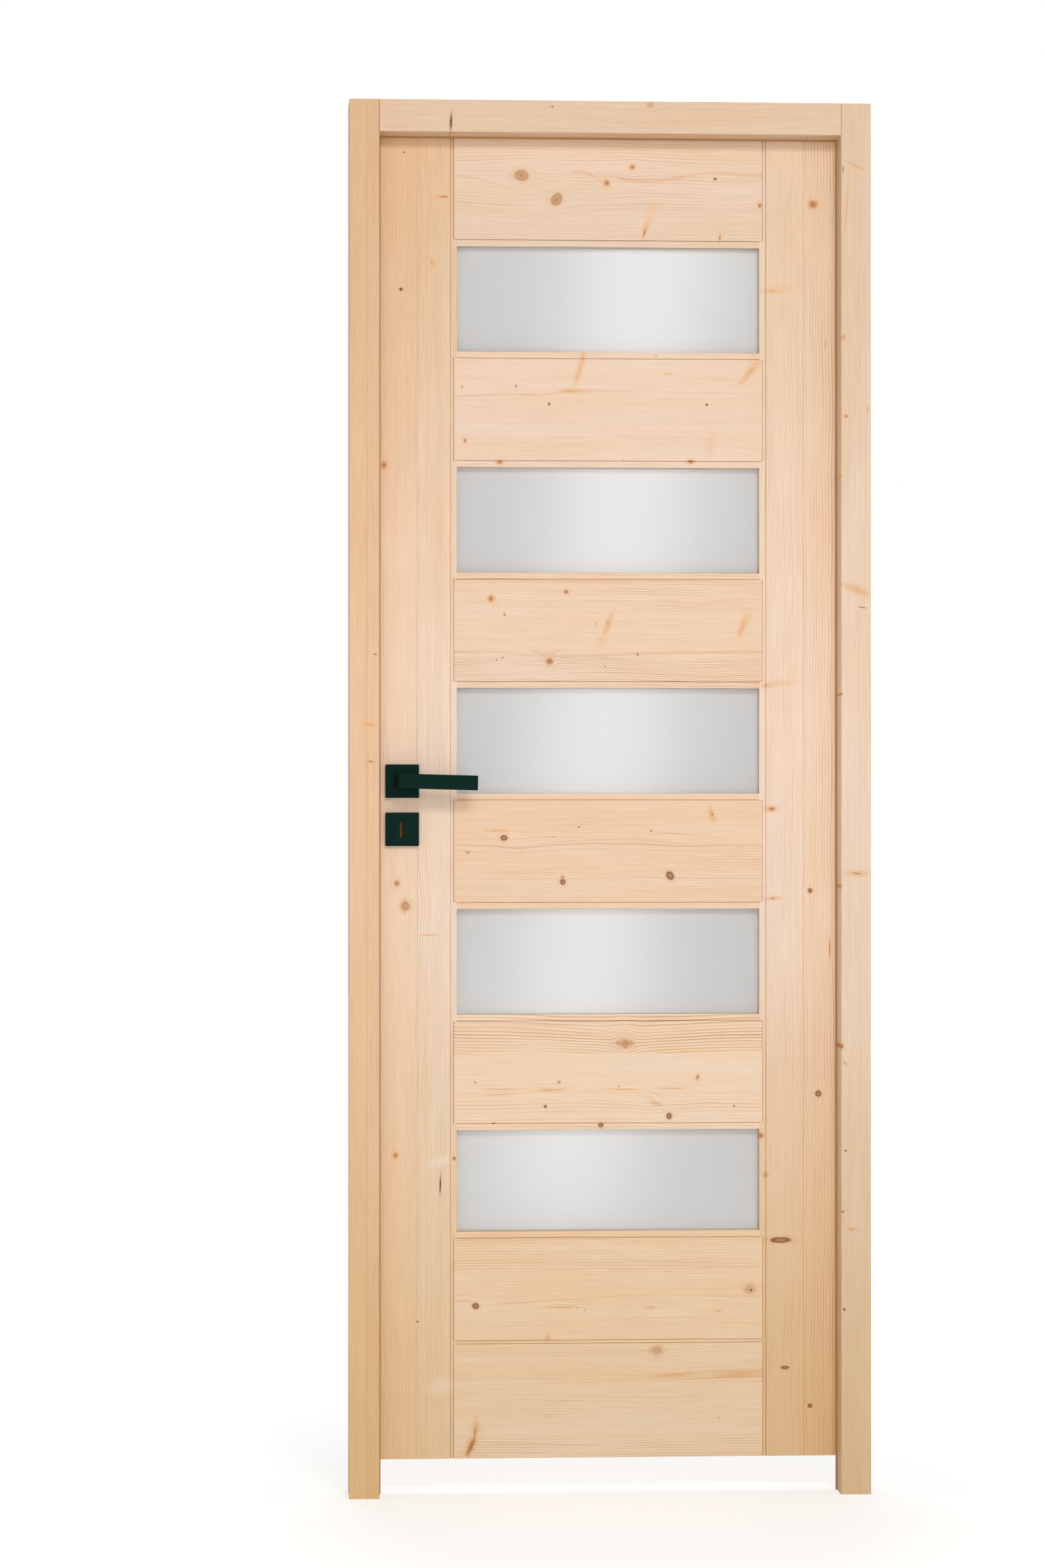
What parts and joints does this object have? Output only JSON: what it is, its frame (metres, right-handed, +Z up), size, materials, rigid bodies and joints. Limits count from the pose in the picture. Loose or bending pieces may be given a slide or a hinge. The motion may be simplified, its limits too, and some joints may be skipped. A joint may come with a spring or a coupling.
{
  "type": "prehung interior door",
  "caption": "Interior door in its frame: spruce boards and stiles around satin glass panes, black lever set, swings on lift-off hinges.",
  "frame": {"origin": "on the outer face of the hinge jamb, at its foot and in the middle of its depth", "axes": "+X out of the hinge jamb, to the right as seen from the push side; +Y towards the pull side, where the leaf opens; +Z up"},
  "size_m": [0.78, 0.16, 2.08],
  "materials": {
    "spruce": "oiled, satin",
    "satin_glass": "acid-etched",
    "seal": "matte",
    "hinge_steel": "zinc plated",
    "lock_steel": "satin",
    "black_handle": "powder coated, satin black"
  },
  "bodies": {
    "frame": {"lock_jamb": "spruce", "hinge_jamb": "spruce", "head_jamb": "spruce", "seal_lock_side": "seal", "seal_hinge_side": "seal", "seal_head": "seal", "strike_plate": "lock_steel", "hinge_frame_half_1": "hinge_steel", "hinge_frame_half_2": "hinge_steel", "hinge_frame_half_3": "hinge_steel"},
    "leaf": {"bottom_board": "spruce", "dead_bolt": "lock_steel", "glass_1": "satin_glass", "glass_2": "satin_glass", "glass_3": "satin_glass", "glass_4": "satin_glass", "glass_5": "satin_glass", "hinge_leaf_half_1": "hinge_steel", "hinge_leaf_half_2": "hinge_steel", "hinge_leaf_half_3": "hinge_steel", "hinge_stile": "spruce", "key_rose_back": "black_handle", "key_rose_front": "black_handle", "latch_bolt": "lock_steel", "lock_case": "lock_steel", "lock_stile": "spruce", "lower_board": "spruce", "middle_board_1": "spruce", "middle_board_2": "spruce", "middle_board_3": "spruce", "middle_board_4": "spruce", "rose_back": "black_handle", "rose_front": "black_handle", "top_board": "spruce"},
    "lever": {"lever_front": "black_handle", "lever_back": "black_handle", "spindle": "lock_steel"}
  },
  "joints": [
    {"name": "leaf_swing", "type": "hinge", "parent": "frame", "child": "leaf", "pos_m": [-0.0325, 0.0525, 0], "axis": [0, 0, -1], "range_deg": [0, 170]},
    {"name": "lever_turn", "type": "hinge", "parent": "leaf", "child": "lever", "pos_m": [-0.7, 0.025, 1.066], "axis": [0, 1, 0], "range_deg": [0, 45], "stiffness_Nm_per_rad": 0.8, "springref_deg": -40.11}
  ]
}
